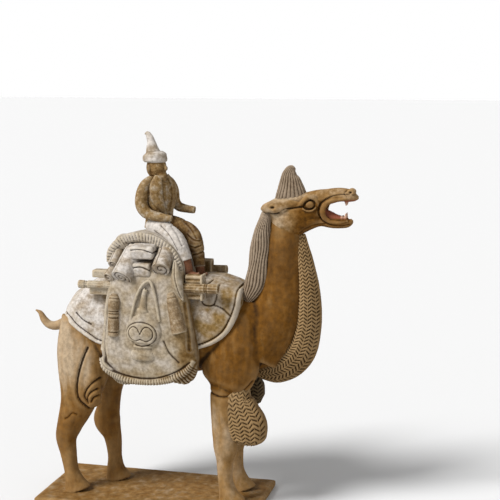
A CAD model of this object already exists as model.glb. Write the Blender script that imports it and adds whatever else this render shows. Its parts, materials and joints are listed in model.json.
# %% [markdown]
# # A pottery camel and its rider
#
# The real figure is one hollow piece of fired clay: a braying camel with a loaded pack saddle and a
# rider, pressed in moulds, joined while the clay was wet, carved, brushed with pale slip in places,
# fired, and then buried for centuries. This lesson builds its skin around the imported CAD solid,
# which is loaded first, because every piece has to lie where that solid lies.

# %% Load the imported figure
import json
import math

import bmesh
import bpy
import numpy as np
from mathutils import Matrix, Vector

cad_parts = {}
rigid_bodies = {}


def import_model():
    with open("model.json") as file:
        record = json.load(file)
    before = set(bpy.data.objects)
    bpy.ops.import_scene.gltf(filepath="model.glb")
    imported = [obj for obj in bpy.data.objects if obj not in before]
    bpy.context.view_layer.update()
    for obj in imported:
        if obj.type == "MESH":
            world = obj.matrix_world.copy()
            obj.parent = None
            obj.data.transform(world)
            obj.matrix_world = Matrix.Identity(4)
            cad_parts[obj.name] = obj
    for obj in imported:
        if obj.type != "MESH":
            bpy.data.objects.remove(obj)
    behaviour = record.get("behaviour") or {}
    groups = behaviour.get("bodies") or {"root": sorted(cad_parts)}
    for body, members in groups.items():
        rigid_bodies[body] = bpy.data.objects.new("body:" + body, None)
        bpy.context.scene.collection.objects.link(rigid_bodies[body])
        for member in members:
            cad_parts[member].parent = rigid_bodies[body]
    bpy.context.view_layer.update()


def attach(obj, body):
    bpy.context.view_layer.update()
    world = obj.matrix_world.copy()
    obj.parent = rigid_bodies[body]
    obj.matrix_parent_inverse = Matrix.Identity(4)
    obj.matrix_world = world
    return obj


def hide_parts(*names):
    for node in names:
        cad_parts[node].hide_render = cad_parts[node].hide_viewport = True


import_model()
SOLID = "camel_and_rider"
MM = 0.001

# %% [markdown]
# ## Camera and light
#
# The figure is seen from its right flank, a little from the front and a little from above. The room
# is a pale floor between bright walls under a darker ceiling, with one large soft lamp high on the
# left, as in a museum photograph. The floor is marked as stage, so it isn't part of the object.

# %% Set up the camera
CAMERA_AZIMUTH = math.radians(14)
CAMERA_ELEVATION = math.radians(9)
CAMERA_DISTANCE = 2.6
CAMERA_TARGET = Vector((0.222, 0, 0.585))
FOCAL_LENGTH = 84.96

towards_camera = Vector((
    math.sin(CAMERA_AZIMUTH) * math.cos(CAMERA_ELEVATION),
    -math.cos(CAMERA_AZIMUTH) * math.cos(CAMERA_ELEVATION),
    math.sin(CAMERA_ELEVATION),
))
camera_data = bpy.data.cameras.new("camera")
camera_data.lens = FOCAL_LENGTH
camera = bpy.data.objects.new("camera", camera_data)
bpy.context.collection.objects.link(camera)
camera.location = CAMERA_TARGET + CAMERA_DISTANCE * towards_camera
camera.rotation_euler = towards_camera.to_track_quat("Z", "Y").to_euler()
bpy.context.scene.camera = camera
print("camera at", [round(c, 2) for c in camera.location])

# %% Light it and lay the floor
KEY_DIRECTION = (-0.62, -0.60, 0.90)
WALL_TONE = 1.0
CEILING_TONE = 0.3

key_data = bpy.data.lights.new("key_lamp", "SUN")
key_data.energy = 4.6
key_data.angle = math.radians(22)
key = bpy.data.objects.new("key_lamp", key_data)
bpy.context.collection.objects.link(key)
key.rotation_euler = Vector(KEY_DIRECTION).to_track_quat("Z", "Y").to_euler()

sky = bpy.data.worlds.new("sky")
sky.use_nodes = True
room = sky.node_tree
towards = room.nodes.new("ShaderNodeTexCoord").outputs["Generated"]
split = room.nodes.new("ShaderNodeSeparateXYZ")
rise = room.nodes.new("ShaderNodeMapRange")
rise.interpolation_type = "SMOOTHSTEP"
rise.inputs["From Min"].default_value = 0.30
rise.inputs["From Max"].default_value = 0.75
rise.inputs["To Min"].default_value = WALL_TONE
rise.inputs["To Max"].default_value = CEILING_TONE
room.links.new(towards, split.inputs["Vector"])
room.links.new(split.outputs["Z"], rise.inputs["Value"])
room.links.new(rise.outputs["Result"], room.nodes["Background"].inputs["Strength"])
room.nodes["Background"].inputs["Color"].default_value = (1, 1, 1, 1)
bpy.context.scene.world = sky
bpy.context.scene.view_settings.view_transform = "Standard"

bpy.ops.object.select_all(action="DESELECT")
bpy.ops.mesh.primitive_plane_add(size=60)
floor = bpy.context.object
floor.name = "floor"
floor_paint = bpy.data.materials.new("pale_floor")
floor_paint.use_nodes = True
floor_paint.node_tree.nodes["Principled BSDF"].inputs["Base Color"].default_value = (0.6, 0.6, 0.6, 1)
floor_paint.node_tree.nodes["Principled BSDF"].inputs["Roughness"].default_value = 0.9
floor.data.materials.append(floor_paint)
print("lamps, sky and floor are in place")

# %% [markdown]
# ## Pulling a form along a path
#
# A potter pulls a neck or a leg to its profile by squeezing it ring by ring. The same is done here
# with a cylinder primitive: its side is cut into rings, and each ring is sent to its place on a
# smooth curve through a few stations. A station is a point in millimetres with two half widths. Lofts
# like this are quick to correct against the photo, because each number means one thing.

# %% Rings on a path
RIGHT, LEFT = -1, 1  # the camel's flanks, -Y and +Y
ACROSS = (0, 1, 0)
FLUTE_DEPTH = 0.05


def spline(points, t):
    """Points at shares t of the way along the smooth curve through a row of points."""
    row = np.array([2 * points[0] - points[1], *points, 2 * points[-1] - points[-2]])
    place = np.clip(np.asarray(t, float) * (len(points) - 1), 0, len(points) - 1 - 1e-9)
    first = place.astype(int)
    w = (place - first)[:, None]
    a, b, c, d = (row[first + i] for i in range(4))
    ab, bc, cd = (np.linalg.norm(q - p, axis=1)[:, None] ** 0.5 for p, q in ((a, b), (b, c), (c, d)))
    bc = np.where(bc < 1e-2, 1, bc)
    ab = np.where(ab < 1e-2, bc, ab)
    cd = np.where(cd < 1e-2, bc, cd)
    leave = ((b - a) / ab - (c - a) / (ab + bc) + (c - b) / bc) * bc
    arrive = ((c - b) / bc - (d - b) / (bc + cd) + (d - c) / cd) * bc
    return (b + w * leave + w ** 2 * (3 * (c - b) - 2 * leave - arrive)
            + w ** 3 * (2 * (b - c) + leave + arrive))


def rings(stations, t, side=ACROSS, upright=False):
    """Centres, half sizes, and the across and rise directions of the sections at shares t."""
    table = np.array([[*s, s[3]][:5] for s in stations], float)
    path, sizes = table[:, :3], table[:, 3:]
    if upright:
        tangent = np.tile([1.0, 0.0, 0.0], (len(t), 1))
    else:
        nudge = 1e-4
        tangent = spline(path, np.minimum(t + nudge, 1)) - spline(path, np.maximum(t - nudge, 0))
        tangent /= np.linalg.norm(tangent, axis=1)[:, None]
    across = np.array(side, float) - (tangent @ np.array(side, float))[:, None] * tangent
    across /= np.linalg.norm(across, axis=1)[:, None]
    return spline(path, t), spline(sizes, t), across, np.cross(tangent, across)


print("a curve through three points passes", spline(np.array([[0, 0, 0], [1, 1, 0], [2, 0, 0.0]]), [0.25]))

# %% Lofts, lumps, blocks and sticks
def read_points(piece):
    """A piece's points in millimetres."""
    points = np.empty(3 * len(piece.data.vertices))
    piece.data.vertices.foreach_get("co", points)
    return points.reshape(-1, 3) / MM


def write_points(piece, points):
    piece.data.vertices.foreach_set("co", (points * MM).ravel())
    piece.data.update()
    return piece


def loft(stations, around=28, steps=5, side=ACROSS, squareness=2.0, taper=0.0, flutes=0,
         dome=False, upright=False):
    """A cylinder primitive, cut into rings that are sent to their stations."""
    bpy.ops.mesh.primitive_cylinder_add(vertices=around, radius=1, depth=1)
    piece = bpy.context.object
    bpy.ops.object.mode_set(mode="EDIT")
    bpy.ops.mesh.select_mode(type="EDGE")
    bpy.ops.mesh.select_all(action="DESELECT")
    for edge in bmesh.from_edit_mesh(piece.data).edges:
        edge.select = abs(edge.verts[0].co.z - edge.verts[1].co.z) > 0.5
    bpy.ops.mesh.subdivide(number_cuts=max(steps * (len(stations) - 1) - 1, 1))
    bpy.ops.object.mode_set(mode="OBJECT")
    unit = read_points(piece) * MM
    centre, size, across, rise = rings(stations, unit[:, 2] + 0.5, side, upright)
    sine, cosine = (np.sign(c) * np.abs(c) ** (2 / squareness) for c in (unit[:, 0], unit[:, 1]))
    groove = 1 - FLUTE_DEPTH * (1 + np.cos(flutes * np.arctan2(unit[:, 0], unit[:, 1]))) * bool(flutes)
    width = size[:, 0] * groove * (1 - taper * cosine * groove) * sine
    height = size[:, 1] * groove * (np.maximum(cosine, 0) if dome else cosine)
    return write_points(piece, centre + across * width[:, None] + rise * height[:, None])


def lump(centre, half):
    """A sphere stretched to three half sizes."""
    bpy.ops.mesh.primitive_uv_sphere_add(segments=32, ring_count=20, radius=1)
    return write_points(bpy.context.object, read_points(bpy.context.object) * MM * half + centre)


def block(size, centre, axis="X", degrees=0, bevel=2.5):
    """A cube primitive with its edges bevelled, turned about one axis."""
    bpy.ops.mesh.primitive_cube_add(size=1)
    piece = bpy.context.object
    write_points(piece, read_points(piece) * MM * size)
    bpy.ops.object.mode_set(mode="EDIT")
    bpy.ops.mesh.select_all(action="SELECT")
    bpy.ops.mesh.bevel(offset=bevel * MM, segments=2, affect="EDGES")
    bpy.ops.object.mode_set(mode="OBJECT")
    return turned(piece, degrees, axis, centre)


def turned(piece, degrees, axis="Z", centre=(0, 0, 0)):
    """Turns a piece about an axis through the origin and sets it down about a centre."""
    s, c = math.sin(math.radians(degrees)), math.cos(math.radians(degrees))
    spin = {"X": [[1, 0, 0], [0, c, -s], [0, s, c]], "Y": [[c, 0, s], [0, 1, 0], [-s, 0, c]],
            "Z": [[c, -s, 0], [s, c, 0], [0, 0, 1]]}[axis]
    return write_points(piece, read_points(piece) @ np.array(spin).T + centre)


def stick(start, end, radius, around=24):
    """A straight round stick between two points."""
    lengthwise = abs(end[1] - start[1]) > abs(end[0] - start[0])
    return loft([[*start, radius], [*end, radius]], around, 2, (1, 0, 0) if lengthwise else ACROSS)


print("helpers for lofts, lumps, blocks and sticks are ready")

# %% [markdown]
# ## One skin over joined parts
#
# Wet clay parts are scored, pressed together and stroked until the joint is gone. A voxel remesh
# does the same: it puts one even skin over parts that overlap, and a few smoothing passes stroke it.
# The skin's small even faces can then be carved. A clouds displacement adds the hand's unevenness.

# %% Join, skin and stroke
clouds = bpy.data.textures.new("hand_pressed_clay", "CLOUDS")
clouds.noise_scale = 0.035
clouds.noise_depth = 2


def fuse(name, parts, voxel, strokes=10, unevenness=0.9):
    """Joins parts into one closed piece with faces about one voxel (in millimetres) wide."""
    bpy.ops.object.select_all(action="DESELECT")
    for part in parts:
        part.select_set(True)
    bpy.context.view_layer.objects.active = parts[0]
    if len(parts) > 1:
        bpy.ops.object.join()
    piece = bpy.context.object
    piece.name = piece.data.name = name
    skin = piece.modifiers.new("skin", "REMESH")
    skin.mode = "VOXEL"
    skin.voxel_size = voxel * MM
    stroke = piece.modifiers.new("stroke", "SMOOTH")
    stroke.factor = 0.5
    stroke.iterations = strokes
    hand = piece.modifiers.new("hand", "DISPLACE")
    hand.texture = clouds
    hand.texture_coords = "LOCAL"
    hand.strength = unevenness * MM
    for modifier in ("skin", "stroke", "hand"):
        bpy.ops.object.modifier_apply(modifier=modifier)
    bpy.ops.object.shade_smooth()
    print(name, "has", 2 * len(piece.data.polygons), "triangles")
    return piece


def normals_of(piece):
    normals = np.empty(3 * len(piece.data.vertices))
    piece.data.vertices.foreach_get("normal", normals)
    return normals.reshape(-1, 3)


def press(piece, height):
    """Moves each point of a piece along its normal by its height in millimetres."""
    return write_points(piece, read_points(piece) + normals_of(piece) * np.asarray(height)[:, None])


def paint(piece, name, values):
    """Stores one number a point for the materials to read."""
    layer = piece.data.attributes.new(name, "FLOAT", "POINT")
    layer.data.foreach_set("value", np.clip(values, -1, 1).astype(np.float32))


print("helpers for one skin over joined parts are ready")

# %% [markdown]
# ## Carving tools
#
# The carver used a pointed tool for lines and a small gouge for hair. Here a tool is a function
# that says how far each point of the skin lies from a line drawn in the side view, or where it lies
# along a lock of hair. Its answer becomes a height, and the skin is pressed in by it.

# %% Lines, tracks and ridges
SIDE_VIEW = [0, 2]  # the x and z columns of a point


def distance_to_line(points, line, closed=False):
    """How far each point of a flat view lies from a line through a few corners, and how far along."""
    corners = np.array([*line, line[0]] if closed else line, float)
    best = np.full(len(points), 1e9)
    along = np.zeros(len(points))
    walked = 0.0
    for start, end in zip(corners[:-1], corners[1:]):
        way = end - start
        length = np.linalg.norm(way)
        share = np.clip((points - start) @ way / length ** 2, 0, 1)
        gap = np.linalg.norm(points - start - share[:, None] * way, axis=1)
        along = np.where(gap < best, walked + share * length, along)
        best = np.minimum(best, gap)
        walked += length
    return best, along


def smooth_line(corners, steps=8, closed=False):
    """More corners on the smooth curve through a few of them."""
    row = np.array([*corners, corners[0]] if closed else corners, float)
    return spline(row, np.linspace(0, 1, steps * (len(row) - 1) + 1))


def groove(view, line, width, deep, curved=True):
    """The height, below zero, of a round-bottomed groove along a line."""
    gap, _ = distance_to_line(view, smooth_line(line) if curved else line)
    return -deep * np.exp(-(gap / width) ** 2)


def soft_step(value, start, end):
    """0 before start, 1 after end, and smooth between; end may lie before start."""
    share = np.clip((value - start) / (end - start), 0, 1)
    return share * share * (3 - 2 * share)


def ridges(phase, sharpness=0.6):
    """0 in each groove and 1 on the crest between two; one ridge for each whole number of phase."""
    return np.abs(np.sin(np.pi * phase)) ** sharpness


class Track:
    """The path through a loft's stations, to find how far along it and round it points lie."""

    def __init__(self, stations, side=ACROSS, upright=False, samples=240):
        self.line, self.size, self.across, self.rise = rings(
            stations, np.linspace(0, 1, samples), side, upright)
        steps = np.linalg.norm(np.diff(self.line, axis=0), axis=1)
        self.length = np.concatenate([[0], np.cumsum(steps)])

    def place(self, points):
        """Millimetres along, and shares of the half widths across and up, of each point."""
        nearest = np.empty(len(points), int)
        for first in range(0, len(points), 20000):
            some = points[first:first + 20000]
            far = (self.line ** 2).sum(1) - 2 * some @ self.line.T
            nearest[first:first + 20000] = far.argmin(1)
        offset = points - self.line[nearest]
        tangent = np.cross(self.across[nearest], self.rise[nearest])
        along = self.length[nearest] + (offset * tangent).sum(1)
        across = (offset * self.across[nearest]).sum(1) / self.size[nearest, 0]
        up = (offset * self.rise[nearest]).sum(1) / self.size[nearest, 1]
        return along, across, up


print("a ridge and its grooves:", ridges(np.array([0, 0.25, 0.5, 1])).round(2))

# %% Find the hollows for dirt and the crests for wear
def hollows(piece, reach=12, full=1.0):
    """Stores how sunken (above 0) or raised (below 0) each point lies beside its neighbourhood."""
    points = read_points(piece)
    edges = np.empty(2 * len(piece.data.edges), int)
    piece.data.edges.foreach_get("vertices", edges)
    first, second = edges.reshape(-1, 2).T
    count = np.bincount(edges, minlength=len(points))
    blurred = points.copy()
    for _ in range(reach):
        for axis in range(3):
            column = blurred[:, axis]
            total = (np.bincount(first, column[second], len(points))
                     + np.bincount(second, column[first], len(points)))
            blurred[:, axis] = total / count
    sunk = ((blurred - points) * normals_of(piece)).sum(1)
    paint(piece, "hollow", sunk / full)
    return sunk


print("the hollow finder is ready")

# %% [markdown]
# ## Fired clay
#
# The clay fired to a warm buff. Dirt stays in the hollows, handling has worn the crests pale, and
# burial left blotches and dark specks. One function builds all these clays from noise in object
# coordinates, a ramp of tones, and the two numbers stored on the skin: hollow, and tone, which says
# where along the ramp a region lies.

# %% A function that mixes a clay
def add_node(tree, kind, inputs=(), **settings):
    """Adds a node, sets it up, and fills or links its inputs by name or number."""
    made = tree.nodes.new(kind)
    for key, value in settings.items():
        setattr(made, key, value)
    for key, value in dict(inputs).items():
        if isinstance(value, bpy.types.NodeSocket):
            tree.links.new(value, made.inputs[key])
        else:
            made.inputs[key].default_value = value
    return made


def noise_of(tree, coordinates, size, detail=4.0, rough=0.55):
    """A noise whose features are so many millimetres wide."""
    inputs = {"Vector": coordinates, "Scale": 1000 / size, "Detail": detail, "Roughness": rough}
    return add_node(tree, "ShaderNodeTexNoise", inputs).outputs["Fac"]


def between(tree, value, low, high, to_low=0.0, to_high=1.0):
    """A value stretched so that low to high becomes to_low to to_high, and cut off beyond them."""
    inputs = {"Value": value, "From Min": low, "From Max": high, "To Min": to_low, "To Max": to_high}
    return add_node(tree, "ShaderNodeMapRange", inputs).outputs["Result"]


def mixed(tree, share, under, over, blend="MIX"):
    """One colour over another by a share from 0 to 1."""
    inputs = {0: share, 6: under, 7: over}
    return add_node(tree, "ShaderNodeMix", inputs, data_type="RGBA", blend_type=blend).outputs[2]


def clay(name, tones, dirt, worn, patch=28, blotch=0.5, specks=0.5, dirt_reach=0.8, stretch=(1, 1, 1),
         rough=0.82, grain=0.5, wear_share=0.6):
    """A fired clay: tones is a ramp of colours that blotches of patch millimetres wander over."""
    material = bpy.data.materials.new(name)
    material.use_nodes = True
    tree = material.node_tree
    shader = tree.nodes["Principled BSDF"]
    shader.inputs["Roughness"].default_value = rough
    shader.inputs["Specular IOR Level"].default_value = 0.10
    flat = add_node(tree, "ShaderNodeTexCoord").outputs["Object"]
    drawn = add_node(tree, "ShaderNodeMapping", {"Vector": flat, "Scale": stretch}).outputs["Vector"]
    tone = add_node(tree, "ShaderNodeAttribute", attribute_name="tone").outputs["Fac"]
    hollow = add_node(tree, "ShaderNodeAttribute", attribute_name="hollow").outputs["Fac"]
    wander = between(tree, noise_of(tree, drawn, patch), 0.3, 0.7, -blotch / 2, blotch / 2)
    place = add_node(tree, "ShaderNodeMath", {0: tone, 1: wander}, operation="ADD").outputs[0]
    ramp = add_node(tree, "ShaderNodeValToRGB", {"Fac": place})
    stops = ramp.color_ramp.elements
    for number, colour in enumerate(tones):
        at = number / max(len(tones) - 1, 1)
        stop = stops[number] if number < 2 else stops.new(at)
        stop.position = at
        stop.color = (*colour, 1)
    shade = ramp.outputs["Color"]
    mottle = between(tree, noise_of(tree, flat, patch / 4), 0.35, 0.65, 0.78, 1.18)
    shade = mixed(tree, 1.0, shade, mottle, "MULTIPLY")
    wear = between(tree, hollow, -0.15, -0.9, 0.0, wear_share)
    shade = mixed(tree, wear, shade, (*worn, 1))
    fine = noise_of(tree, flat, 6)
    speck = between(tree, noise_of(tree, flat, 3.2, 2), 0.66, 0.74, 0.0, specks)
    shade = mixed(tree, speck, shade, (*dirt, 1))
    sunk = add_node(tree, "ShaderNodeMath", {0: hollow, 1: between(tree, fine, 0.2, 0.8, -0.15, 0.15)},
                    operation="ADD").outputs[0]
    shade = mixed(tree, between(tree, sunk, 0.08, dirt_reach, 0.0, 0.92), shade, (*dirt, 1))
    tree.links.new(shade, shader.inputs["Base Color"])
    rise = add_node(tree, "ShaderNodeBump", {"Height": fine, "Strength": grain, "Distance": 0.0006})
    tree.links.new(rise.outputs["Normal"], shader.inputs["Normal"])
    return material


def finish(piece, material, tone=0.0):
    """Gives a carved piece its hollows, tone and clay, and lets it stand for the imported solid."""
    hollows(piece)
    paint(piece, "tone", np.broadcast_to(tone, len(piece.data.vertices)))
    piece.data.materials.clear()
    piece.data.materials.append(material)
    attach(piece, "root")
    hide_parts(SOLID)
    print(piece.name, "is finished in", material.name)


print("the clay mixer is ready")

# %% [markdown]
# ## The camel's body
#
# The camel was pressed in two-part moulds, so its trunk, neck and legs are full round forms with
# soft junctions. They are lofts under one skin. The slack skin before each thigh hangs in a leaf
# with sharp cut edges, and a ledge marks where the shoulder ends above the foreleg.

# %% Trunk, neck and tail
LEG_SPREAD = 48
FOOT_LEVEL = 14

TRUNK = [
    (-216, 0, 398, 24, 26), (-196, 0, 390, 58, 60), (-150, 0, 388, 76, 84), (-70, 0, 384, 84, 98),
    (40, 0, 388, 86, 94), (120, 0, 396, 84, 87), (200, 0, 400, 72, 88), (262, 0, 404, 52, 82),
    (304, 0, 410, 26, 52),
]
NECK = [
    (228, 0, 372, 68, 80), (266, 0, 420, 55, 70), (289, 0, 480, 44, 58), (295, 0, 543, 37, 50),
    (297, 0, 604, 33, 41), (300, 0, 660, 28, 32),
]
TAIL = [
    (-200, 0, 404, 15, 15), (-222, 0, 397, 12, 13), (-242, 0, 390, 11, 11), (-258, 0, 391, 10, 10),
    (-272, 0, 403, 9, 9), (-281, 0, 419, 6, 6), (-294, 0, 425, 2, 2),
]
body_parts = [loft(TRUNK, 40), loft(NECK, 36), loft(TAIL, 20)]
print("trunk, neck and tail are pulled")

# %% Shoulders and legs
def shoulder(side):
    return [
        (214, side * 34, 462, 10, 22), (210, side * 42, 440, 20, 36), (200, side * 49, 390, 31, 58),
        (190, side * 52, 336, 33, 66), (184, side * 52, 300, 29, 57), (178, side * 50, 278, 17, 34),
    ]


def foreleg(side):
    y = side * LEG_SPREAD
    return [
        (176, side * 50, 300, 25, 31), (175, side * 50, 256, 25, 31), (175, y, 200, 24, 29),
        (178, y, 146, 24, 28), (176, y, 112, 18, 19), (178, y, 66, 17, 17), (184, y, 38, 21, 22),
        (192, y, FOOT_LEVEL, 28, 34),
    ]


RIGHT_HIND_LEG = [
    (-142, -42, 420, 34, 66), (-152, -47, 350, 39, 67), (-158, -50, 290, 37, 59),
    (-172, -LEG_SPREAD, 226, 29, 42), (-193, -LEG_SPREAD, 172, 24, 30.5),
    (-203, -LEG_SPREAD, 140, 21, 25), (-199, -LEG_SPREAD, 106, 18, 20),
    (-193, -LEG_SPREAD, 66, 17, 17), (-186, -LEG_SPREAD, 38, 21, 22),
    (-178, -LEG_SPREAD, FOOT_LEVEL, 28, 34),
]
LEFT_HIND_LEG = [
    (-140, 42, 420, 34, 66), (-130, 46, 350, 38, 62), (-122, 50, 280, 32, 36),
    (-127, LEG_SPREAD, 228, 27, 24), (-133, LEG_SPREAD, 194, 25, 26),
    (-139, LEG_SPREAD, 158, 24, 33), (-126, LEG_SPREAD, 118, 18, 22),
    (-121, LEG_SPREAD, 70, 17, 17), (-119, LEG_SPREAD, 38, 21, 22),
    (-113, LEG_SPREAD, FOOT_LEVEL, 28, 34),
]
for side in (RIGHT, LEFT):
    body_parts += [loft(shoulder(side)), loft(foreleg(side))]
body_parts += [loft(RIGHT_HIND_LEG), loft(LEFT_HIND_LEG)]
print(len(body_parts), "parts so far")

# %% The slack skin before the thigh
def flank_fold(side):
    return [
        (-122, side * 64, 368, 6, 8), (-128, side * 68, 332, 14, 18), (-132, side * 68, 285, 18, 25),
        (-133, side * 66, 250, 17, 27), (-128, side * 62, 222, 12, 15),
    ]


body_parts += [loft(flank_fold(side)) for side in (RIGHT, LEFT)]
body = fuse("camel_body", body_parts, 2.75)

# %% Cut the body's lines
FOLD_EDGE = [(-132, 362), (-142, 338), (-150, 314), (-156, 291), (-160, 267), (-160, 249), (-153, 233),
             (-138, 219)]
FOLD_WRINKLES = [
    [(-108, 292), (-124, 280), (-137, 264), (-143, 246), (-136, 232)],
    [(-112, 268), (-126, 260), (-135, 248), (-137, 238)],
    [(-110, 252), (-122, 246), (-128, 236)],
]
SHOULDER_LEDGE = [(138, 276), (158, 271), (182, 268), (208, 273), (228, 286), (244, 304)]
HOCK_CRACK = [(-196, 190), (-186, 196), (-176, 206), (-166, 203)]

points = read_points(body)
view = points[:, SIDE_VIEW]
outside = {side: soft_step(side * points[:, 1], 40, 60) for side in (RIGHT, LEFT)}
height = groove(view, FOLD_EDGE, 2.8, 5.5) * (outside[RIGHT] + 0.8 * outside[LEFT])
for wrinkle in FOLD_WRINKLES:
    height += groove(view, wrinkle, 2.6, 4.0) * outside[RIGHT]
height += groove(view, SHOULDER_LEDGE, 2.6, 3.0) * (outside[RIGHT] + outside[LEFT])
height += groove(view, HOCK_CRACK, 1.8, 1.6) * outside[RIGHT]
press(body, height)
print("deepest cut in the body:", round(-height.min(), 1), "mm")

# %% Mix the body's clay and finish it
OCHRE_DARK = (0.060, 0.024, 0.003)
OCHRE = (0.118, 0.048, 0.005)
OCHRE_TAN = (0.190, 0.105, 0.035)
BEIGE = (0.300, 0.225, 0.145)
UMBER = (0.018, 0.008, 0.002)
WORN_BUFF = (0.300, 0.185, 0.080)

def patches(piece, base, places):
    """A tone that is changed in soft round patches of (x, z, reach, change), seen from the side."""
    view = read_points(piece)[:, SIDE_VIEW]
    tone = np.full(len(view), float(base))
    for x, z, reach, change in places:
        tone += change * np.exp(-((view - (x, z)) ** 2).sum(1) / reach ** 2)
    return tone


body_clay = clay("camel_clay", [OCHRE_DARK, OCHRE, OCHRE_TAN, BEIGE], UMBER, WORN_BUFF, patch=42,
                 blotch=0.40, specks=0.45, stretch=(2.0, 2.0, 0.55), wear_share=0.35)
finish(body, body_clay, patches(body, 0.30, [
    (-200, 380, 75, 0.62), (-190, 300, 70, 0.42), (-265, 410, 45, 0.65), (-120, 300, 60, 0.25),
    (-205, 150, 60, -0.12), (170, 200, 70, 0.45), (175, 80, 90, 0.42), (-190, 60, 90, 0.20),
    (-120, 60, 80, 0.15), (240, 340, 60, -0.05), (300, 560, 60, -0.16), (300, 640, 50, 0.15),
]))

# %% [markdown]
# ## The head
#
# The head brays: the lips curl back from a wide open mouth, the cheeks are round, and the ears lie
# back along the skull. It is a piece of its own here, because the cheek overhangs the neck with a
# sharp edge, and because its small forms need a finer skin than the body.

# %% Skull, jaw and cheeks
SKULL = [
    (258, 0, 680, 12, 12), (276, 0, 676, 26, 28), (300, 0, 672, 32, 40), (326, 0, 674, 33, 42),
    (350, 0, 684, 27, 36), (374, 0, 700, 21, 23), (396, 0, 708, 18, 17), (423, 0, 713, 17, 15),
    (442, 0, 711, 15, 14), (454, 0, 708, 10, 9), (462, 0, 707, 3, 3),
]
JAW = [
    (330, 0, 650, 27, 28), (358, 0, 654, 22, 19), (382, 0, 654, 18, 11), (404, 0, 649, 16, 9),
    (424, 0, 649, 15, 9), (437, 0, 651, 13, 9), (445, 0, 656, 8, 7), (448, 0, 660, 3, 3),
]
TONGUE = [(376, 0, 670, 9, 12), (392, 0, 668, 12, 12), (412, 0, 660, 12, 11), (428, 0, 657, 10, 10),
          (436, 0, 659, 5, 5)]
head_parts = [loft(SKULL, 36), loft(JAW, 30), lump((308, 0, 656), (41, 34, 43)),
              lump((366, 0, 674), (23, 21, 22)), loft(TONGUE, 20)]
print("skull, jaw, cheeks and tongue are pulled")

# %% Lips, brows, eyes, ears and teeth
def lip(side):
    return [(446, side * 10, 707, 4, 4), (428, side * 14, 705, 4, 4), (404, side * 17, 700, 5, 5),
            (391, side * 20, 691, 5, 6), (387, side * 20, 678, 5, 6), (390, side * 19, 666, 5, 6),
            (402, side * 15, 656, 5, 5), (424, side * 13, 654, 4, 4), (440, side * 8, 657, 4, 4)]


def brow(side):
    return [(332, side * 29, 689, 3, 4), (342, side * 29, 696, 4, 5), (355, side * 26, 708, 4, 5),
            (368, side * 22, 706, 4, 5), (376, side * 20, 697, 3, 4), (378, side * 19, 689, 2, 2)]


def lower_lid(side):
    return [(345, side * 29, 684, 2, 2), (354, side * 27, 679, 2.5, 2.5), (365, side * 24, 680, 2.5, 2.5),
            (373, side * 21, 686, 2, 2)]


def ear(side):
    return [(338, side * 27, 693, 4, 5), (316, side * 31, 694, 6, 9), (294, side * 33, 688, 7, 15),
            (274, side * 33, 685, 7, 13), (261, side * 31, 682, 6, 9), (254, side * 28, 680, 3, 3)]


for side in (RIGHT, LEFT):
    head_parts += [loft(lip(side), 16), loft(brow(side), 16), loft(lower_lid(side), 12, 4),
                   loft(ear(side), 24), lump((359, side * 23, 692), (9.5, 7, 8.5)),
                   lump((446, side * 11, 719), (9, 5, 8))]
    head_parts += [loft([(436, side * 8, 702, 4.5), (436, side * 8, 689, 1)], 12, 3),
                   loft([(434, side * 8, 658, 4.5), (436, side * 8, 675, 1)], 12, 3),
                   loft([(428, side * 9, 657, 4.5), (427, side * 9, 668, 2)], 12, 3)]
head = fuse("camel_head", head_parts, 1.15, strokes=7, unevenness=0.5)

# %% Cut the head's lines
EYE_SLIT = [(346, 688), (352, 697), (361, 702), (369, 698), (371, 691), (365, 684), (354, 683)]
EAR_LINE = [(270, 672), (285, 671), (298, 675), (309, 682), (322, 684), (334, 686), (346, 688)]
EAR_HOLE = (281, 685)
LIP_EDGE = [(452, 714), (430, 715), (408, 711), (392, 703), (382, 694), (378, 681), (380, 668), (387, 658),
            (400, 650), (424, 647), (444, 650)]
NOSTRIL = (446, 719)
CHEEK_EDGE = [(268, 664), (268, 645), (276, 629), (294, 617), (316, 613), (334, 620)]
JAW_EDGE = [(336, 628), (352, 640), (372, 648), (392, 651)]

points = read_points(head)
view = points[:, SIDE_VIEW]
height = groove(view, [*EYE_SLIT, EYE_SLIT[0]], 1.5, 2.6)
height += groove(view, EAR_LINE, 1.7, 2.4)
height += groove(view, LIP_EDGE, 1.7, 2.0)
height += groove(view, JAW_EDGE, 1.8, 1.4)
ear_gap = np.linalg.norm((view - EAR_HOLE) / (1.35, 1), axis=1)
nostril_gap = np.linalg.norm((view - NOSTRIL) / (1.0, 0.85), axis=1)
height -= 5.0 * np.exp(-(ear_gap / 3.6) ** 4) + 5.5 * np.exp(-(nostril_gap / 3.8) ** 4)
height += groove(view, [(437, 724), (433, 717), (438, 710)], 1.2, 1.4)
height *= soft_step(np.abs(points[:, 1]), 5, 11)
press(head, height)
print("deepest cut in the head:", round(-height.min(), 1), "mm")

# %% Mix the head's clay, with a red mouth and pale teeth
MOUTH_RED = (0.200, 0.060, 0.035)
TOOTH = (0.420, 0.270, 0.190)
head_clay = clay("camel_head_clay", [OCHRE_DARK, OCHRE, OCHRE_TAN, BEIGE], UMBER, WORN_BUFF, patch=30,
                 blotch=0.45, specks=0.4, dirt_reach=1.0)


def tint(material, name, colour, strength=0.85):
    """Lays a colour over a clay wherever the stored number of that name says so."""
    tree = material.node_tree
    shader = tree.nodes["Principled BSDF"]
    under = shader.inputs["Base Color"].links[0].from_socket
    share = add_node(tree, "ShaderNodeAttribute", attribute_name=name).outputs["Fac"]
    over = mixed(tree, between(tree, share, 0, 1, 0, strength), under, (*colour, 1))
    tree.links.new(over, shader.inputs["Base Color"])


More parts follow.
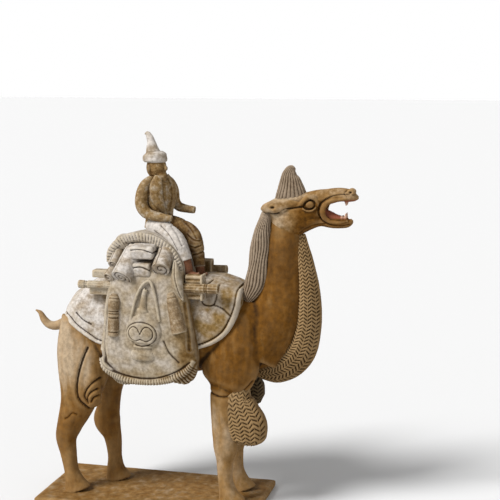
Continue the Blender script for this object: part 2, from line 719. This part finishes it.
tint(head_clay, "mouth", MOUTH_RED)
tint(head_clay, "tooth", TOOTH)
x, y, z = read_points(head).T
inner = (1 - soft_step(np.abs(y), 11, 15)) * soft_step(x, 380, 388)
paint(head, "mouth", inner * soft_step(z, 660, 664) * soft_step(z, 706, 700))
paint(head, "tooth", (1 - soft_step(np.abs(y), 13, 15)) * soft_step(x, 423, 426) * (
    soft_step(z, 662, 666) * soft_step(z, 700, 694)))
cheek = soft_step(x, 345, 300) * soft_step(z, 620, 650)
finish(head, head_clay, 0.36 + 0.50 * cheek + 0.40 * soft_step(z, 690, 712) - 0.12 * soft_step(x, 330, 350)
       * soft_step(z, 705, 690))

# %% [markdown]
# ## Mane, forelock and beard
#
# The long hair was laid on as separate rolls of clay and combed with a toothed tool. On the mane and
# the forelock the grooves run with the hair. The beard and the tufts on the forelegs are jabbed
# instead: rows of short slanted cuts that lean one way and then the other, like a herringbone.

# %% The mane
MANE = [
    (266, 0, 690, 20, 8), (262, 0, 664, 32, 14), (255, 0, 628, 36, 21), (250, 0, 587, 37, 26),
    (248, 0, 548, 39, 27), (241, 0, 518, 42, 27), (231, 0, 494, 42, 23), (222, 0, 474, 34, 12),
]
mane = fuse("mane", [loft(MANE, 48, squareness=2.8)], 1.45, strokes=8)


def comb(piece, stations, locks, deep, wave=0.5, pitch=90.0, start=0.0, **track_options):
    """Combs long grooves along a loft: so many locks round it, that wander a little sideways."""
    along, across, up = Track(stations, **track_options).place(read_points(piece))
    turn = np.arctan2(across, up) / (2 * math.pi)
    wander = wave * np.sin(2 * math.pi * along / pitch + 9 * turn)
    coarse = ridges(locks * turn + wander)
    fine = ridges(3.1 * locks * turn + 2 * wander)
    fade = soft_step(along, start, start + 12)
    press(piece, ((coarse - 1) * deep + (fine - 1) * deep * 0.25) * fade)
    print(piece.name, "is combed into", locks, "locks")


comb(mane, MANE, 26, 2.6, wave=0.35)

# %% The forelock
FORELOCK = [
    (315, 0, 690, 23, 40), (314, 0, 716, 20, 33), (312, 0, 738, 13, 25), (311, 0, 754, 9, 18),
    (315, 0, 765, 6, 12), (321, 0, 771, 2, 5),
]
forelock = fuse("forelock", [loft(FORELOCK, 40)], 1.2, strokes=6, unevenness=0.5)
comb(forelock, FORELOCK, 22, 2.0, wave=0.25, pitch=120)

# %% The beard down the throat
BEARD = [
    (335, 0, 624, 8, 11), (341, 0, 595, 15, 14), (346, 0, 570, 20, 17), (355, 0, 515, 26, 22),
    (358, 0, 460, 28, 26), (355, 0, 415, 28, 28), (339, 0, 363, 28, 33), (314, 0, 335, 26, 34),
    (282, 0, 316, 23, 29), (246, 0, 308, 14, 14),
]
beard = fuse("throat_beard", [loft(BEARD, 40, 7, squareness=2.4, taper=0.35)], 1.35, strokes=7)


def jab(piece, track, rows, pitch, deep, edge=0.0):
    """Rows of short slanted cuts along a track, which lean to one side and then to the other."""
    along, across, up = track.place(read_points(piece))
    row = (up + 1) / 2 * rows
    lean = np.where(row.astype(int) % 2, 1, -1)
    within = row % 1 - 0.5
    cut = 1 - ridges(along / pitch + lean * within * 0.9, 0.9)
    gap = soft_step(np.abs(within), 0.5, 0.34)
    shown = soft_step(np.abs(across), 0.25, 0.45)
    press(piece, -deep * cut ** 1.5 * gap * shown)
    print(piece.name, "is jabbed in", rows, "rows")


jab(beard, Track(BEARD), 6, 8.0, 3.4)

# %% The tufts down the forelegs
RIGHT_TUFT = [
    (214, -LEG_SPREAD, 288, 20, 20), (208, -LEG_SPREAD, 262, 27, 32), (216, -LEG_SPREAD, 232, 29, 39),
    (227, -LEG_SPREAD, 200, 30, 46), (231, -LEG_SPREAD, 170, 26, 40), (231, -LEG_SPREAD, 156, 14, 18),
]
LEFT_TUFT = [
    (211, LEG_SPREAD, 290, 20, 20), (213, LEG_SPREAD, 262, 27, 31), (217, LEG_SPREAD, 238, 27, 28),
    (222, LEG_SPREAD, 221, 13, 14),
]
tufts = []
for name, stations, rows in (("right_leg_tuft", RIGHT_TUFT, 8), ("left_leg_tuft", LEFT_TUFT, 6)):
    tuft = fuse(name, [loft(stations, 32, squareness=2.4)], 1.5, strokes=7)
    jab(tuft, Track(stations), rows, 9.0, 3.0)
    tufts.append(tuft)

# %% Mix the hair's clays and finish the hair
GREY_TAUPE = (0.150, 0.108, 0.070)
TAUPE_DARK = (0.085, 0.050, 0.024)
TAUPE_PALE = (0.220, 0.165, 0.115)
mane_clay = clay("mane_clay", [TAUPE_DARK, GREY_TAUPE, TAUPE_PALE], UMBER, (0.32, 0.25, 0.18), patch=24,
                 specks=0.3, dirt_reach=0.7)
beard_clay = clay("beard_clay", [(0.080, 0.040, 0.010), (0.140, 0.080, 0.028), (0.200, 0.125, 0.055)],
                  (0.012, 0.006, 0.002), (0.30, 0.20, 0.10), patch=40, specks=0.25, dirt_reach=0.6)
dark_tuft_clay = clay("dark_tuft_clay", [(0.030, 0.018, 0.007), (0.060, 0.036, 0.014)], (0.008, 0.004, 0.002),
                      (0.14, 0.10, 0.05), patch=24, specks=0.3)
finish(mane, mane_clay, 0.25 + 0.5 * soft_step(read_points(mane)[:, 2], 480, 560))
finish(forelock, mane_clay, 0.6)
finish(beard, beard_clay, 0.75 - 0.45 * soft_step(read_points(beard)[:, 2], 400, 320))
finish(tufts[0], beard_clay, 0.7)
finish(tufts[1], dark_tuft_clay, 0.4)

# %% [markdown]
# ## Saddle felt and pack bags
#
# A thick felt lies over both humps, and a bag hangs down each flank with a pilgrim flask pressed on
# it in relief. These were brushed with pale slip, which has worn off to the ochre clay in places.

# %% Stretch the felt over the humps
FELT_HALF_WIDTH = 94
FELT_OUTLINE = [  # x, lower edge, top, share of the full width
    (-209, 424, 434, 0.12), (-198, 420, 452, 0.5), (-178, 414, 480, 0.76), (-150, 398, 500, 0.87),
    (-110, 378, 520, 0.94), (-50, 368, 526, 0.99), (30, 364, 520, 1), (90, 368, 525, 0.99),
    (130, 378, 531, 0.96), (163, 391, 529, 0.91), (190, 413, 521, 0.85), (207, 444, 513, 0.78),
    (214, 470, 505, 0.66),
]
FELT = [(x, 0, low, FELT_HALF_WIDTH * share, top - low) for x, low, top, share in FELT_OUTLINE]
felt = fuse("saddle_felt", [loft(FELT, 48, squareness=2.6, dome=True, upright=True)], 2.2, strokes=5)

# %% Press the felt's border and cracks
FELT_EDGE = [(-212, 423), (-185, 420), (-165, 404), (-132, 385), (-109, 373), (-50, 364), (30, 360), (90, 364),
             (130, 374), (163, 388), (190, 410), (207, 441), (216, 470), (218, 500)]
FELT_CRACKS = [
    [(148, 522), (130, 503), (137, 475), (159, 474), (166, 514)],
    [(159, 474), (180, 466), (196, 452)],
]
REAR_FOLD = [(-160, 440), (-140, 425), (-122, 418)]


def border(view, line, width, high):
    """A raised strip along an edge, with a groove at its inner side."""
    gap, _ = distance_to_line(view, smooth_line(line))
    return high * soft_step(gap, width, width - 2) - 1.5 * high * np.exp(-((gap - width - 1) / 1.8) ** 2)


view = read_points(felt)[:, SIDE_VIEW]
height = border(view, FELT_EDGE, 11, 1.6)
for crack in FELT_CRACKS:
    height += groove(view, crack, 1.7, 2.2)
height += groove(view, REAR_FOLD, 2.2, 2.2)
press(felt, height)
print("deepest cut in the felt:", round(-height.min(), 1), "mm")

# %% Hang the bags
BAG_REACH = 95


def bag(side):
    y = side * BAG_REACH
    return [
        (14, y - side * 12, 548, 20, 80), (14, y - side * 6, 510, 25, 88), (15, y - side * 2, 470, 26, 97),
        (18, y, 405, 27, 106), (18, y, 355, 27, 113), (12, y, 326, 26, 104), (9, y + side, 309, 22, 80),
        (11, y + side, 296, 9, 42),
    ]


def fringe(side):
    y = side * (BAG_REACH + 18)
    return [
        (-88, y - side * 6, 350, 8, 8), (-78, y, 329, 10, 9), (-40, y, 308, 10, 9), (14, y, 303, 10, 9),
        (70, y, 311, 10, 9), (108, y, 333, 10, 9), (122, y - side * 6, 356, 8, 8),
    ]


BAG_FOLDS = [
    [(-70, 470), (-76, 430), (-80, 380), (-76, 344)],
    [(104, 480), (112, 430), (116, 380)],
    [(60, 396), (72, 372), (92, 352)],
]
FRINGE_SEAM = [(-92, 358), (-80, 335), (-41, 318), (5, 311), (51, 316), (96, 336), (116, 352)]
bags = []
for name, side in (("right_bag", RIGHT), ("left_bag", LEFT)):
    piece = fuse(name, [loft(bag(side), 44, squareness=3.2), loft(fringe(side), 20, 8)], 1.6, strokes=6)
    points = read_points(piece)
    view = points[:, SIDE_VIEW]
    outside = soft_step(side * points[:, 1], 96, 106)
    gap, along = distance_to_line(view, smooth_line(FRINGE_SEAM))
    below = (view[:, 1] < np.interp(view[:, 0], *np.array(FRINGE_SEAM).T)) * outside
    height = -2.4 * np.exp(-(gap / 1.7) ** 2) * outside
    height -= 2.6 * (1 - ridges(along / 5.6 + 0.25 * np.sin(along / 9), 0.8)) * below * soft_step(gap, 1.5, 4)
    if side == RIGHT:
        for fold in BAG_FOLDS:
            height += groove(view, fold, 3.5, 2.0) * outside
    press(piece, height)
    bags.append(piece)
print("two bags hang")

# %% Press the flasks and their straps
def flask(side):
    y = side * 119
    return [
        (12, y, 353, 24, 9), (12, y, 356, 28, 10), (12, y, 366, 28, 11), (13, y, 373, 23, 9),
        (13, y, 378, 21, 8), (13, y, 383, 24, 10), (13, y, 388, 21, 8), (14, y, 396, 35, 13),
        (14, y, 416, 42, 15), (14, y, 438, 36, 13), (13, y, 452, 21, 9), (12, y, 458, 12, 7),
        (12, y, 463, 13, 7.5), (13, y, 468, 9, 6), (14, y, 482, 6.5, 5), (16, y, 500, 5, 4),
        (19, y, 508, 5, 4), (21, y, 504, 3, 3),
    ]


def strap(side):
    y = side * 121
    return [
        (-16, y, 436, 3.5, 3.5), (-2, y, 490, 3.5, 3.5), (14, y - side * 2, 520, 3.5, 3.5),
        (28, y - side * 3, 528, 3.5, 3.5), (38, y - side * 2, 506, 3.5, 3.5), (51, y, 440, 3.5, 3.5),
    ]


HEART = [(10, 413), (2, 426), (-8, 428), (-17, 418), (-14, 404), (-2, 397), (9, 401)]
HEART_FRONT = [(10, 413), (19, 427), (29, 428), (38, 418), (36, 405), (24, 397), (11, 401)]
MEDALLION = (11, 412)
flasks = []
for name, side in (("right_flask", RIGHT), ("left_flask", LEFT)):
    piece = fuse(name, [loft(flask(side), 36, side=(1, 0, 0)), loft(strap(side), 12)], 1.15, strokes=5,
                 unevenness=0.5)
    points = read_points(piece)
    view = points[:, SIDE_VIEW]
    front = soft_step(side * points[:, 1], 119, 124)
    oval = np.linalg.norm((view - MEDALLION) / (34, 26), axis=1)
    height = 1.6 * soft_step(oval, 1.0, 0.9) - 1.6 * np.exp(-((oval - 1.04) / 0.05) ** 2)
    if side == RIGHT:
        height += groove(view, HEART, 1.5, 2.2) + groove(view, HEART_FRONT, 1.5, 2.2)
    press(piece, height * front)
    flasks.append(piece)
print("two flasks are pressed")

# %% Hang the cases and the long bundle
def cases(side):
    return [
        [(-53, side * 114, 496, 6, 6), (-54, side * 116, 484, 13, 13), (-55, side * 117, 440, 13.5, 13),
         (-56, side * 117, 403, 14, 13)],
        [(73, side * 110, 504, 6, 7), (76, side * 112, 492, 12, 12), (84, side * 113, 458, 14, 15),
         (94, side * 114, 417, 16, 17.5)],
    ]


def ring_cuts(piece, stations, places, width, deep):
    """Cuts rings round a loft at places in millimetres along it."""
    along, _, _ = Track(stations).place(read_points(piece))
    press(piece, sum(-deep * np.exp(-((along - place) / width) ** 2) for place in places))


case_pieces = []
for side_name, side in (("right", RIGHT), ("left", LEFT)):
    rear, front = cases(side)
    rear_case = fuse(side_name + "_rear_case", [loft(rear, 28)], 1.1, strokes=4, unevenness=0.6)
    ring_cuts(rear_case, rear, (10, 38, 43, 52, 84), 1.5, 1.8)
    front_case = fuse(side_name + "_front_case", [loft(front, 28)], 1.2, strokes=5, unevenness=1.0)
    ring_cuts(front_case, front, (12,), 1.6, 1.2)
    case_pieces += [rear_case, front_case]
LONG_BUNDLE = [(80, -98, 572, 3, 3), (83, -104, 550, 9, 9), (87, -108, 528, 11, 12.5), (93, -110, 507, 8, 9),
               (101, -109, 487, 2, 2)]
long_bundle = fuse("long_bundle", [loft(LONG_BUNDLE, 24)], 1.0, strokes=4, unevenness=0.4)
press(long_bundle, groove(read_points(long_bundle)[:, SIDE_VIEW], [(81, 568), (84, 540), (92, 510), (98, 492)],
                          1.4, 2.0))
print(len(case_pieces), "cases and a bundle hang")

# %% Mix the slip-brushed clays and finish felt, bags and cases
PALE_SLIP = (0.42, 0.385, 0.35)
GREY_SLIP = (0.265, 0.215, 0.160)
BARE_TAN = (0.185, 0.115, 0.040)
BARE_OCHRE = (0.100, 0.052, 0.012)
slip_clay = clay("slip_clay", [BARE_OCHRE, BARE_TAN, GREY_SLIP, PALE_SLIP], UMBER, (0.46, 0.41, 0.34),
                 patch=26, blotch=0.6, specks=0.4)
bag_clay = clay("bag_clay", [BARE_OCHRE, (0.180, 0.120, 0.055), (0.260, 0.210, 0.145), (0.340, 0.300, 0.255)],
                UMBER, (0.40, 0.34, 0.25), patch=30, blotch=0.5, specks=0.45)
case_clay = clay("case_clay", [(0.08, 0.045, 0.02), (0.19, 0.13, 0.07), (0.30, 0.24, 0.17)], UMBER,
                 (0.42, 0.35, 0.25), patch=10, blotch=0.7, specks=0.7)
x, y, z = read_points(felt).T
finish(felt, slip_clay, 0.42 + 0.45 * soft_step(x, -60, -110) + 0.2 * soft_step(z, 420, 500) * (x > 0)
       - 0.15 * soft_step(x, 150, 200))
for piece in bags:
    x, y, z = read_points(piece).T
    finish(piece, bag_clay, 0.72 + 0.15 * soft_step(x, -20, -80) - 0.55 * soft_step(x, 70, 110)
           - 0.2 * soft_step(z, 335, 315))
for piece in flasks:
    finish(piece, bag_clay, 0.72)
for piece in case_pieces:
    finish(piece, case_clay, 0.5)
finish(long_bundle, bag_clay, 0.7)

# %% [markdown]
# ## The load under the rider
#
# Between the bags and the rug lie rolls of cloth, folded bales and rods, and beyond them the ends of
# the wooden pack frame. Each is a piece of its own, so that the dark joints between them stay sharp.

# %% Roll and fold the goods
def frame_of(start, end):
    """Three directions of a straight form: along it, and two across it."""
    along = np.subtract(end, start).astype(float)
    length = np.linalg.norm(along)
    along /= length
    level = np.cross(along, (0, 0, 1.0))
    level /= np.linalg.norm(level)
    return along, level, np.cross(level, along), length


def rolled(name, start, end, radius, turns, voxel=1.1):
    """A roll of cloth whose outer end shows the turns of the cloth as a spiral."""
    piece = fuse(name, [stick(start, end, radius, 36)], voxel, strokes=4, unevenness=1.2)
    along, level, rise, length = frame_of(start, end)
    offset = read_points(piece) - start
    far, a, b = offset @ along, offset @ level, offset @ rise
    reach = np.hypot(a, b)
    spiral = 1 - ridges(turns * reach / radius - np.arctan2(b, a) / (2 * math.pi) + 0.5, 0.7)
    face = soft_step(far, length - 4, length - 1.5) * soft_step(reach, radius, radius - 3)
    lap = np.exp(-(np.minimum(np.abs(np.arctan2(b, a) - 1.2), 1) * radius / 2.0) ** 2) * (1 - face)
    press(piece, -3.0 * spiral * face - 2.2 * lap)
    return piece


RUG_DROP = {RIGHT: 0, LEFT: 8}
goods = {}
for side_name, side in (("right", RIGHT), ("left", LEFT)):
    drop = RUG_DROP[side]
    goods[side_name + "_rear_roll"] = rolled(
        side_name + "_rear_roll", (-20, side * 66, 586 - drop), (-37, side * 118, 532), 23, 2.4)
    goods[side_name + "_front_roll"] = rolled(
        side_name + "_front_roll", (53, side * 72, 584 - drop), (52, side * 115, 553), 20, 1.6)
    goods[side_name + "_upper_bale"] = fuse(
        side_name + "_upper_bale", [block((54, 50, 28), (6, side * 86, 589 - drop), "X", side * -8, 5)], 1.3, 5)
    goods[side_name + "_lower_bale"] = fuse(
        side_name + "_lower_bale", [block((40, 56, 30), (6, side * 84, 551), "X", side * -6, 5)], 1.3, 5)
goods["low_rod"] = rolled("low_rod", (-56, -70, 560), (-71, -108, 529), 12, 1.2)
goods["high_rod"] = rolled("high_rod", (-56, -66, 590), (-62, -102, 557), 11, 1.2)
for name in ("right_upper_bale", "right_lower_bale"):
    bale = goods[name]
    x, y, z = read_points(bale).T
    middle = 0.5 * (z.min() + z.max())
    press(bale, groove(np.column_stack([x, z]), [(x.min(), middle + 2), (6, middle + 5), (x.max(), middle - 2)],
                       1.6, 3.0) * soft_step(-y, 60, 80))
print(len(goods), "rolls, bales and rods")

# %% Lay the rug
RUG_HALF_WIDTH = 86
RUG_SAG = -4
RUG_CROWN = 598
RUG = [(-78, 552, -6, 9), (-72, 578, 0, 12), (-50, 601, 0, 12), (-4, 611, 0, 13), (34, 602, 0, 13), (64, 582, 0, 12),
       (82, 552, 0, 12), (85, 516, -4, 9)]
rug_stations = [(x, 0, z - RUG_CROWN, RUG_HALF_WIDTH + narrow, thick) for x, z, narrow, thick in RUG]
rug_track = Track(rug_stations)
rug_arch = loft(rug_stations, 48, 7, squareness=5)
rug = fuse("rug", [turned(rug_arch, RUG_SAG, "X", (0, 0, RUG_CROWN)), lump((-48, -62, 602), (20, 24, 19))], 1.7,
           strokes=6)
points = read_points(rug)
s, c = math.sin(math.radians(-RUG_SAG)), math.cos(math.radians(-RUG_SAG))
flat = np.column_stack([points[:, 0], c * points[:, 1] - s * (points[:, 2] - RUG_CROWN),
                        s * points[:, 1] + c * (points[:, 2] - RUG_CROWN)])
along, across, up = rug_track.place(flat)
edge = soft_step(np.abs(across), 0.90, 0.99)
height = -2.6 * (1 - ridges(along / 7.0 + 0.35 * up + 0.12 * np.sin(along / 11), 0.8)) * edge
height -= 1.8 * np.exp(-((np.abs(across) - 0.88) / 0.02) ** 2)
press(rug, height)
print("the rug is laid and hatched")

# %% Build the pack frame
FRAME_REACH = 96
FRAME_DEPTH = 26


def pack_frame(side):
    reach = side * FRAME_REACH
    y = side * (FRAME_REACH - FRAME_DEPTH / 2)
    front = -32 if side == LEFT else 0
    lift = RUG_DROP[side]
    made = {
        "rear_pole": [stick((-144, reach, 510), (-20, reach, 511), 9)],
        "front_pole": [stick((50, reach, 512 + lift), (176 + front, reach, 513 + lift), 11)],
        "rear_board": [block((46, FRAME_DEPTH, 17), (-90, y, 534))],
    }
    if side == LEFT:
        made["front_board"] = [block((38, FRAME_DEPTH, 52), (126 + front, y, 513 + lift))]
        return made
    made["low_board"] = [block((58, FRAME_DEPTH, 15), (-91, y, 495))]
    made["post"] = [block((5, FRAME_DEPTH + 4, 56), (138, y, 513), bevel=1.2)]
    ribs = 6
    rib_height = 52 / ribs
    made["ribbed_board"] = [
        loft([(101, y, 487 + (i + 0.5) * rib_height, 13, rib_height * 0.62),
              (137, y, 487 + (i + 0.5) * rib_height, 13, rib_height * 0.62)], 20, 3, squareness=3)
        for i in range(ribs)]
    return made


frame_pieces = {}
for side_name, side in (("right", RIGHT), ("left", LEFT)):
    for name, parts in pack_frame(side).items():
        label = side_name + "_" + name
        frame_pieces[label] = fuse(label, parts, 1.3, strokes=3, unevenness=0.9)
for label in ("right_rear_pole", "right_front_pole"):
    piece = frame_pieces[label]
    x, y, z = read_points(piece).T
    bands = sum(np.exp(-((x - at) / 1.4) ** 2) for at in (-128, -124, 147, 151))
    press(piece, -1.8 * bands - 0.9 * (1 - ridges(np.arctan2(y + FRAME_REACH, z - 511) * 1.6, 0.7)))
print(len(frame_pieces), "poles and boards")

# %% Finish the load
wood_clay = clay("wood_clay", [(0.085, 0.045, 0.014), (0.17, 0.105, 0.042), (0.33, 0.28, 0.21)], UMBER,
                 (0.44, 0.36, 0.25), patch=16, blotch=0.8, specks=0.5)
TONES = {"rear_roll": 0.9, "front_roll": 0.66, "upper_bale": 0.9, "lower_bale": 0.82, "low_rod": 0.55,
         "high_rod": 0.6}
for name, piece in goods.items():
    finish(piece, slip_clay, next((tone for key, tone in TONES.items() if name.endswith(key)), 0.7))
finish(rug, bag_clay, 0.75 + 0.2 * soft_step(read_points(rug)[:, 2], 560, 600))
for label, piece in frame_pieces.items():
    finish(piece, wood_clay, 0.95 if "rear" in label or "low" in label or "post" in label else 0.4)

# %% [markdown]
# ## The rider
#
# The rider sits astride the rug and turns towards the right flank, in a coat with wide leaf-shaped
# lapels, pale trousers, boots with pointed toes and a tall cap with a rolled brim. The face is a calm
# plain one.

# %% Trousers and legs
SEAT = (15, -4, 622)
TORSO_TURN = -30
HEAD_TURN = -20
HEAD_CENTRE = (9, -6, 763)

right_leg = [(10, -26, 634, 24, 24), (42, -42, 626, 21, 21), (70, -54, 607, 20, 20), (86, -59, 582, 15, 15),
             (92, -60, 566, 15, 15)]
left_leg = [(20, 10, 638, 22, 22), (58, 4, 632, 19, 19), (90, -4, 617, 18, 18), (101, -10, 595, 17, 17),
            (110, -16, 558, 13, 13), (112, -18, 546, 12, 12)]
trousers = fuse("rider_trousers", [lump((14, -6, 635), (30, 40, 26)), loft(right_leg, 28)], 1.15, 5, 0.8)
lower_leg = fuse("rider_left_leg", [loft(left_leg, 28)], 1.1, 5, 0.8)
right_boot = fuse("rider_right_boot", [
    loft([(89, -60, 576, 12, 12), (95, -61, 556, 11.5, 11.5), (98, -62, 544, 11, 11), (98, -62, 538, 9, 9)], 24),
    loft([(92, -61, 541, 9, 8), (108, -64, 537, 9, 6.5), (120, -66, 538, 5, 3.5), (125, -67, 541, 2, 2)], 20)],
    1.0, 4, 0.5)
left_boot = fuse("rider_left_boot", [
    loft([(110, -16, 556, 11, 11), (113, -20, 540, 10, 10), (114, -21, 528, 10, 10)], 24),
    loft([(106, -19, 533, 9, 8), (120, -22, 530, 8, 6.5), (131, -25, 533, 3, 3)], 20)], 1.0, 4, 0.5)
TROUSER_FOLDS = [
    [(36, 640), (52, 628), (66, 612), (78, 590)],
    [(20, 628), (40, 616), (58, 602), (74, 580)],
    [(58, 640), (76, 622), (88, 600)],
]
view = read_points(trousers)[:, SIDE_VIEW]
height = sum(groove(view, fold, 2.0, 1.8) for fold in TROUSER_FOLDS)
press(trousers, height)
LEG_FOLDS = [
    [(72, 646), (92, 630), (106, 610)],
    [(84, 618), (98, 608), (112, 604)],
    [(92, 592), (104, 590), (116, 594)],
    [(98, 574), (110, 576), (120, 580)],
]
view = read_points(lower_leg)[:, SIDE_VIEW]
press(lower_leg, sum(groove(view, fold, 1.8, 1.6) for fold in LEG_FOLDS))
print("the rider's legs are pulled")

# %% Coat
TORSO = [(0, 0, 8, 37, 30), (0, 0, 34, 34, 26), (2, 0, 62, 35, 26), (2, 0, 92, 38, 26), (0, 0, 110, 34, 21),
         (-2, 0, 122, 19, 16), (-2, 0, 130, 13, 13)]
RIGHT_ARM = [(-3, -20, 118, 8, 9), (-6, -36, 104, 12, 13), (-8, -44, 84, 14, 14), (-7, -46, 60, 14, 14),
             (6, -42, 43, 13, 12), (32, -30, 36, 11, 10), (56, -14, 33, 7, 6)]
LEFT_ARM = [(-2, 20, 118, 8, 9), (-1, 34, 104, 11, 12), (1, 41, 86, 13, 13), (5, 42, 64, 12, 12),
            (14, 45, 52, 11, 11), (34, 53, 47, 9, 9), (50, 61, 45, 8, 8)]


def lapel(side):
    return [(12, side * 13, 124, 8, 4), (18, side * 25, 102, 14, 6), (20, side * 25, 78, 14, 6),
            (24, side * 16, 56, 9, 6), (26, side * 6, 40, 3, 4)]


coat_parts = [loft(TORSO, 36), loft(RIGHT_ARM, 24, side=(1, 1, 0)), loft(LEFT_ARM, 24, side=(-1, 1, 0))]
coat_parts += [loft(lapel(side), 20, side=(-0.58, side * 0.81, 0)) for side in (RIGHT, LEFT)]
coat = fuse("rider_coat", [turned(part, TORSO_TURN, "Z", SEAT) for part in coat_parts], 1.1, strokes=3,
            unevenness=0.6)
print("the coat is on")

# %% Head and cap
head_parts = [
    loft([(2, 0, -38, 14, 14), (0, 0, -12, 13, 13)], 24, 3), lump((1, 0, 0), (24, 20, 26)),
    loft([(22, 0, 8, 2.5, 3), (28, 0, -1, 4, 4), (24, 0, -5, 3, 2)], 12),
    loft([(13, 0, -12, 14, 11), (21, 0, -22, 11, 9), (26, 0, -31, 3, 3)], 20),
]
head_parts += [lump((-5, side * 20, -1), (5, 3.5, 8)) for side in (RIGHT, LEFT)]
rider_head = fuse("rider_head", [turned(part, HEAD_TURN, "Z", HEAD_CENTRE) for part in head_parts], 0.8, 4, 0.3)
CAP = [(-6, 0, 26, 17, 19), (-10, 0, 40, 13, 15), (-13, 0, 56, 9, 10), (-18, 0, 68, 7, 8), (-23, 0, 75, 5, 5),
       (-31, 0, 73, 1.5, 1.5)]
cap_parts = [loft([(-3, 0, 12, 21, 25), (-3, 0, 17, 25, 29), (-4, 0, 28, 24, 28), (-5, 0, 35, 16, 19)], 36),
             loft(CAP, 28)]
cap = fuse("rider_cap", [turned(part, HEAD_TURN, "Z", HEAD_CENTRE) for part in cap_parts], 1.0, 4, 0.7)
print("the rider's head and cap are on")

# %% Dress the rider in clay
coat_clay = clay("coat_clay", [(0.055, 0.024, 0.006), (0.110, 0.058, 0.018), (0.200, 0.125, 0.050),
                               (0.290, 0.240, 0.180)], UMBER, (0.36, 0.30, 0.21), patch=14, blotch=0.7, specks=0.4)
red_clay = clay("boot_clay", [(0.085, 0.028, 0.010), (0.170, 0.075, 0.040)], UMBER, (0.32, 0.20, 0.13), patch=12)
finish(trousers, slip_clay, 1.0)
finish(lower_leg, coat_clay, 0.35)
finish(right_boot, red_clay, 0.7)
finish(left_boot, red_clay, 0.3)
finish(coat, coat_clay, 0.66)
finish(rider_head, coat_clay, 0.5)
finish(cap, slip_clay, 0.85)

# %% [markdown]
# ## The slab
#
# A low slab joins the four feet. It is plain, with its upper edges bevelled.

# %% Lay the slab
slab = fuse("slab", [block((510, 250, 16), (0, 0, 8), bevel=4)], 3.2, strokes=2, unevenness=0.8)
finish(slab, body_clay, 0.62)
